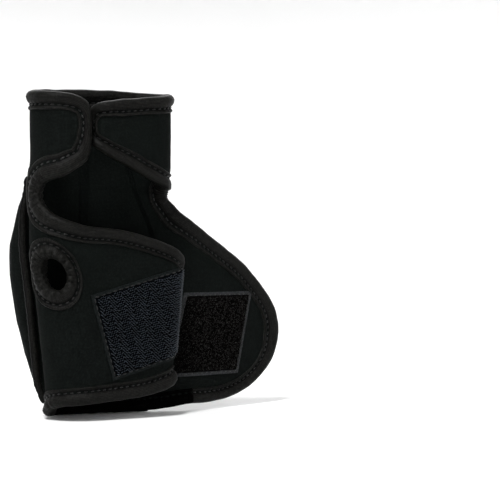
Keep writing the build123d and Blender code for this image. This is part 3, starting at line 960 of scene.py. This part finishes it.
def tape_slab(name, place, span, thickness, material, slot, step=1.0, inset=0.0):
    """A flat layer of tape with two faces: span(q) is where it starts and ends at a height q across it."""
    q = np.linspace(inset, TAPE_W - inset, int(TAPE_W / step) + 1)
    start, end = span(q, inset)
    share = np.linspace(0, 1, int((end - start).max() / step) + 1)
    pp = start[:, None] + share[None, :] * (end - start)[:, None]
    qq = np.broadcast_to(q[:, None], pp.shape)
    top = place(pp, qq, thickness(pp, qq)).reshape(-1, 3)
    bottom = place(pp, qq, 0 * pp - 0.3).reshape(-1, 3)
    faces = layer_faces(grid_faces(*pp.shape), pp.size)
    uv = np.stack([pp, qq], -1).reshape(-1, 2)
    return make_piece(name, np.vstack([top, bottom]), faces, material, slot, np.vstack([uv, uv]))


def tubes(paths, radius, sides=4):
    """Thin round fibres along many short paths, given as an array of paths of points."""
    count, steps, _ = paths.shape
    ahead = np.gradient(paths, axis=1)
    ahead /= np.linalg.norm(ahead, axis=2, keepdims=True) + 1e-9
    guide = np.where(np.abs(ahead[..., 2:3]) > 0.8, [1.0, 0, 0], [0, 0, 1.0])
    one = np.cross(ahead, guide)
    one /= np.linalg.norm(one, axis=2, keepdims=True)
    two = np.cross(ahead, one)
    w = round_turn(sides)
    ring = one[:, :, None, :] * np.cos(w)[:, None] + two[:, :, None, :] * np.sin(w)[:, None]
    points = (paths[:, :, None, :] + radius * ring).reshape(-1, 3)
    single = capped_faces(steps, sides)
    faces = [[i + k * steps * sides for i in f] for k in range(count) for f in single]
    return points, faces


def tape_stitches(name, place, length_of, level, border, chosen):
    """Stitches round a tape, a little inside its border. chosen(p, q) says which are made."""
    dash, faces = capsule(2.3, 0.8, 0.55)
    low, high = border, TAPE_W - border
    ends = [(length_of(q) - border, q) for q in (low, high)]
    corners = [(border, low), *ends, (border, high)]
    parts = []
    for (p0, q0), (p1, q1) in zip(corners, corners[1:] + corners[:1]):
        run = math.hypot(p1 - p0, q1 - q0)
        count = int(run / STITCH_PITCH)
        cp, cq = (p1 - p0) / run, (q1 - q0) / run
        for k in range(count):
            at = (k + 0.5) * run / count
            if chosen(p0 + cp * at, q0 + cq * at):
                t = at + dash[:, 0]
                p, q = p0 + cp * t - cq * dash[:, 1], q0 + cq * t + cp * dash[:, 1]
                parts.append((place(p, q, level + dash[:, 2]), faces))
    return make_piece(name, *gather_parts(parts), thread, "thread")


def tape_sewing(name, place, length_of, sewing, chosen=lambda p, q: True):
    """The stitches round a tape, and where they come out on the sheet's other face."""
    level, border = sewing

    def far_side(p, q, h):
        return place(p, q, -PANEL_T - h)

    seam = tape_stitches(name + "_stitches", place, length_of, level, border, chosen)
    back = tape_stitches(name + "_back_stitches", far_side, length_of, BACK_LEVEL, border, chosen)
    return seam, back


def hook_span(q, inset):
    """Where a row of the hook tape starts and ends."""
    return 0 * q + inset, wing_end(q) - 0.2 * inset


def loop_split(q):
    """Where the loop tape is divided, like the cloth under it."""
    return FLAP_SPLIT - LOOP_CORNER[0] - LOOP_LEAN * q / TAPE_W


def rounded(p, q, end, inset):
    """1 on a raised layer, falling to 0 at its border; the layer lies inside the tape by inset."""
    near = np.minimum(np.minimum(p, end - p), np.minimum(q, TAPE_W - q)) - inset
    return ease(near / 0.8)


def flat_tape(p, q):
    """Height of a tape's woven ground over the sheet."""
    return 0.75 + 0.04 * waves(p, q, 3, 31)


def hook_floor_height(p, q):
    """Height of the ground that the hooks stand on."""
    return 0.6 + 0.4 * rounded(p, q, wing_end(q), HOOK_SELVEDGE)


def loop_thickness(p, q):
    """Height of the lumpy pile."""
    lumps = 0.34 * waves(p, q, 3.0, 41) + 0.25 * waves(p, q, 7.0, 42)
    return 0.6 + rounded(p, q, LOOP_LENGTH, LOOP_SELVEDGE) * (0.9 + lumps)


def hook_field():
    """Small hooks in slanted rows, their tips turned left and right in turn."""
    rng = np.random.default_rng(5)
    paths = []
    for row, q in enumerate(np.arange(3.0, TAPE_W - 2.6, HOOK_PITCH[1])):
        reach = float(wing_end(q)) - 1.2
        for p in np.arange(2.8 + 0.65 * (row % 2), reach, HOOK_PITCH[0]):
            lean = 0.55 if int(p / HOOK_STRIPE) % 2 else -0.55
            jitter = rng.uniform(-0.18, 0.18, 2)
            height = rng.uniform(1.15, 1.5)
            turn = np.array([0, 0.35, 0.75, 1.0, 0.9])
            rise = 0.7 + height * np.array([0, 0.62, 0.95, 0.88, 0.62])
            paths.append(hook_place(p + jitter[0] + 0.55 * turn, q + jitter[1] + lean * turn, rise))
    return tubes(np.array(paths), HOOK_R)


def pile_field(on_side):
    """Small crooked loops standing on the pile, on the half of the tape nearer the hinge or the other."""
    rng = np.random.default_rng(6)
    p = rng.uniform(1.4, LOOP_LENGTH - 1.4, PILE_COUNT)
    q = rng.uniform(3.0, TAPE_W - 3.0, PILE_COUNT)
    heading = rng.uniform(0, 2 * np.pi, PILE_COUNT)
    width = rng.uniform(0.5, 1.3, PILE_COUNT)
    height = rng.uniform(0.3, 0.85, PILE_COUNT)
    share = np.linspace(0, 1, 6)
    along = (share - 0.5)[None, :] * width[:, None]
    rise = np.sin(share * np.pi)[None, :] * height[:, None] - 0.15
    pp = p[:, None] + along * np.cos(heading)[:, None]
    qq = q[:, None] + along * np.sin(heading)[:, None]
    chosen = (p < loop_split(q)) == on_side
    base = loop_thickness(p, q)[:, None]
    return tubes(loop_place(pp, qq, base + rise)[chosen], PILE_R, 3)


hook_slab = tape_slab("hook_tape_weave", hook_place, hook_span, flat_tape, hook_base, "hook_tape")
# The bed carries the painted shade among the hooks.
hook_bed = tape_slab(
    "hook_tape_bed", hook_place, hook_span, hook_floor_height, hook_floor, "hook_tape", inset=HOOK_SELVEDGE
)
hooks = make_piece("hook_tape_hooks", *hook_field(), hook_wire, "hook_tape")
hook_seam, hook_back_seam = tape_sewing("hook_tape", hook_place, wing_end, HOOK_SEWING)
for piece in (hook_slab, hook_bed, hooks, hook_seam, hook_back_seam):
    attach(piece, "cuff_shell")
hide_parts("hook_tape")
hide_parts("hook_tape_thread")

for half in ("side", "front"):
    on_side = half == "side"

    def span(q, inset):
        ends = (0 * q + inset, loop_split(q), 0 * q + LOOP_LENGTH - inset)
        return ends[:2] if on_side else ends[1:]

    def chosen(p, q):
        return (p < loop_split(q)) == on_side

    name = f"loop_tape_{half}"
    weave = tape_slab(name + "_weave", loop_place, span, flat_tape, loop_base, "loop_tape")
    # The bed carries the painted shade within the pile.
    bed = tape_slab(
        name + "_bed", loop_place, span, loop_thickness, loop_floor, "loop_tape", 0.8, LOOP_SELVEDGE
    )
    pile = make_piece(name + "_pile", *pile_field(on_side), loop_pile, "loop_tape")
    seam, back_seam = tape_sewing(name, loop_place, lambda q: LOOP_LENGTH, LOOP_SEWING, chosen)
    for piece in (weave, bed, pile, seam, back_seam):
        attach(piece, f"flap_{half}")
    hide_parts(name)
    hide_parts(f"loop_tape_thread_{half}")


# ---- pouch and its piping


def wall_back(x, z):
    """Y of the wall's middle behind the hand at a given x, as far round as the pouch goes."""
    cx = thumb_centre_x(z)
    side = np.clip(cx - x, 0, THUMB_R * math.sin(POUCH_TURN))
    return THUMB_Y + np.sqrt(THUMB_R**2 - side**2)


def pouch_form():
    """Closed form of the pouch before it is filled: superellipse sections, flat against the wall."""
    z, left, right, back = np.array(POUCH, float).T
    level = np.linspace(0, z[-1], 40)
    w = round_turn(64)
    rings = []
    for height in level:
        lo, hi, deep = (np.interp(height, z, v) for v in (left, right, back))
        lo, hi, deep = lo + POUCH_SHRINK, hi - POUCH_SHRINK, deep - POUCH_SHRINK
        front = BACK_Y - THUMB_R * (1 - math.cos(POUCH_TURN)) - 1
        cx, cy = (lo + hi) / 2, (front + deep) / 2
        x = cx + (hi - lo) / 2 * np.sign(np.cos(w)) * np.abs(np.cos(w)) ** POUCH_SQUARE[0]
        y = cy + (deep - front) / 2 * np.sign(np.sin(w)) * np.abs(np.sin(w)) ** POUCH_SQUARE[1]
        y = np.maximum(y, wall_back(x, height))
        rings.append(np.stack([x, y, height + 0 * w], -1))
    return np.vstack(rings), capped_faces(len(level), len(w))


def coordinates(mesh):
    co = np.zeros(len(mesh.vertices) * 3)
    mesh.vertices.foreach_get("co", co)
    return co.reshape(-1, 3)


def move_points(mesh, points):
    mesh.vertices.foreach_set("co", points.ravel())
    mesh.update()


def apply_modifiers(piece):
    """Makes the piece's modifiers part of its mesh."""
    bpy.context.view_layer.update()
    graph = bpy.context.evaluated_depsgraph_get()
    mesh = bpy.data.meshes.new_from_object(piece.evaluated_get(graph))
    piece.modifiers.clear()
    piece.data = mesh


def fill_with_pressure(piece, pinned, most):
    """Swells a closed piece as cloth under pressure. pinned(points) marks what stays sewn down."""
    rest = coordinates(piece.data)
    group = piece.vertex_groups.new(name="sewn")
    for i in np.flatnonzero(pinned(rest / MM)):
        group.add([int(i)], 1.0, "REPLACE")
    cloth = piece.modifiers.new("cloth", "CLOTH")
    for name, value in POUCH_CLOTH.items():
        setattr(cloth.settings, name, value)
    cloth.settings.effector_weights.gravity = 0
    cloth.settings.vertex_group_mass = group.name
    scene = bpy.context.scene
    for number in range(1, POUCH_FRAMES + 1):
        scene.frame_set(number)
    graph = bpy.context.evaluated_depsgraph_get()
    moved = coordinates(piece.evaluated_get(graph).data) - rest
    length = np.linalg.norm(moved, axis=1, keepdims=True) + 1e-9
    moved *= np.minimum(1, most * MM / length)
    piece.modifiers.clear()
    move_points(piece.data, rest + moved)
    scene.frame_set(1)


def make_pouch():
    """The pouch: its form, filled as cloth, drawn in along its middle seam and slightly uneven."""
    pouch = make_piece("weight_pouch", *pouch_form(), pouch_cloth, "neoprene", sharp=180)
    remesh = pouch.modifiers.new("remesh", "REMESH")
    remesh.mode = "VOXEL"
    remesh.voxel_size = POUCH_VOXEL * MM
    apply_modifiers(pouch)
    fill_with_pressure(pouch, lambda p: p[:, 1] < wall_back(p[:, 0], p[:, 2]) + 2.5, POUCH_SWELL)
    smooth = pouch.modifiers.new("smooth", "SUBSURF")
    smooth.levels = smooth.render_levels = 1
    apply_modifiers(pouch)
    p = coordinates(pouch.data) / MM
    behind = ease((p[:, 1] - BACK_Y - 3) / 8)
    seam = hump(p[:, 0], POUCH_SEAM_DEPTH, POUCH_SEAM_X, 4)
    seam = seam * fade_in(p[:, 2], 6, 26) * (1 - fade_in(p[:, 2], 116, 136))
    p[:, 1] -= seam * behind
    p[:, 1] += behind * 0.5 * waves(p[:, 0], p[:, 2], 30, 51)
    p[:, 2] = np.maximum(p[:, 2], 0.2)
    move_points(pouch.data, p * MM)
    pouch.data.shade_smooth()
    round_the_side = np.where(p[:, 0] > POUCH_SEAM_X, p[:, 1], -p[:, 1])
    set_pattern(pouch.data, np.stack([p[:, 0] + round_the_side, p[:, 2]], -1))
    return pouch


pouch = make_pouch()
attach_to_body(pouch, "cuff_shell")
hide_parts("weight_pouch_cover")


def piping_points(count=150):
    """Line of the corded seam up the thumb side, standing off the wall and joining it at the top."""
    z = np.linspace(PIPING_BASE, PIPING_TOP, count)
    reach = PIPING_REACH - 3.2 * fade_in(z, 112, PIPING_TOP) - 2.4 * (1 - fade_in(z, PIPING_BASE, 20))
    x = thumb_centre_x(z) + reach * math.cos(PIPING_TURN) + 0.35 * waves(z, 0 * z, 40, 61)
    y = THUMB_Y + reach * math.sin(PIPING_TURN) + 0.3 * waves(z, 0 * z, 35, 62)
    return np.stack([x, y, z], -1)


def make_piping():
    """The cord up the thumb side, its ends rounded."""
    line = piping_points()
    w = round_turn(14)
    rings = []
    for i, (x, y, z) in enumerate(line):
        radius = PIPING_R * (1 + 0.05 * math.sin(i * 1.7) + 0.04 * math.sin(i * 0.61))
        radius *= math.sqrt(min(1, (min(i, len(line) - 1 - i) + 0.5) / 3))
        rings.append(np.stack([x + radius * np.cos(w), y + radius * np.sin(w), z + 0 * w], -1))
    uv = np.array([(r * 0.93, c * 1.03) for r in range(len(line)) for c in range(len(w))])
    faces = capped_faces(len(line), len(w))
    return make_piece("thumb_seam_cord", np.vstack(rings), faces, knit, "binding", uv)


piping = make_piping()
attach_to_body(piping, "cuff_shell")
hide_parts("thumb_seam_piping")

for name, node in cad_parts.items():
    if node.hide_render:
        continue
    node.data.materials.clear()
    node.data.materials.append(iron_sand if name.startswith("iron_sand") else bag_cloth)


# ---- stage, light and camera

CAMERA_AT = (-223.5, -847, 96)
CAMERA_TURN = math.radians(20)
LENS = 108.94
SENSOR = 36


def make_stage():
    """A floor that curves up into a backdrop, far enough round for every view."""
    profile = [(1.2, 0.0), (1.6, 0.03), (2.0, 0.2), (2.3, 0.6), (2.4, 1.2), (2.4, 2.6)]
    w = round_turn(64)
    rings = [np.stack([r * np.cos(w), r * np.sin(w), z + 0 * w], -1) / MM for r, z in profile]
    faces = grid_faces(len(profile), len(w), wrap_columns=True) + [list(range(len(w)))]
    paint = plain("studio", (0.93, 0.93, 0.93), 0.6)
    floor = make_piece("studio_floor", np.vstack(rings), faces, paint, "neoprene")


def add_light(name, place, size, power, aim=(0, 0, 0.09)):
    data = bpy.data.lights.new(name, "AREA")
    data.shape = "DISK"
    data.size = size
    data.energy = power
    light = add_object(name, data)
    light.location = place
    light.rotation_euler = (Vector(aim) - Vector(place)).to_track_quat("-Z", "Y").to_euler()


def set_view():
    scene = bpy.context.scene
    data = bpy.data.cameras.new("camera")
    data.lens = LENS
    data.sensor_width = SENSOR
    camera = add_object("camera", data)
    camera.location = Vector(CAMERA_AT) * MM
    forward = Vector((math.sin(CAMERA_TURN), math.cos(CAMERA_TURN), 0))
    camera.rotation_euler = forward.to_track_quat("-Z", "Y").to_euler()
    scene.camera = camera
    world = bpy.data.worlds.new("studio")
    world.use_nodes = True
    background = world.node_tree.nodes["Background"].inputs
    background["Color"].default_value = (1, 1, 1, 1)
    background["Strength"].default_value = 0.18
    scene.world = world
    scene.view_settings.view_transform = "Standard"
    scene.view_settings.look = "None"


make_stage()
add_light("key", (-0.7, -0.9, 1.9), 0.5, 52)
add_light("fill", (1.2, -1.4, 1.2), 1.0, 1.5)
add_light("back", (0.4, 1.4, 1.5), 0.9, 16)
set_view()
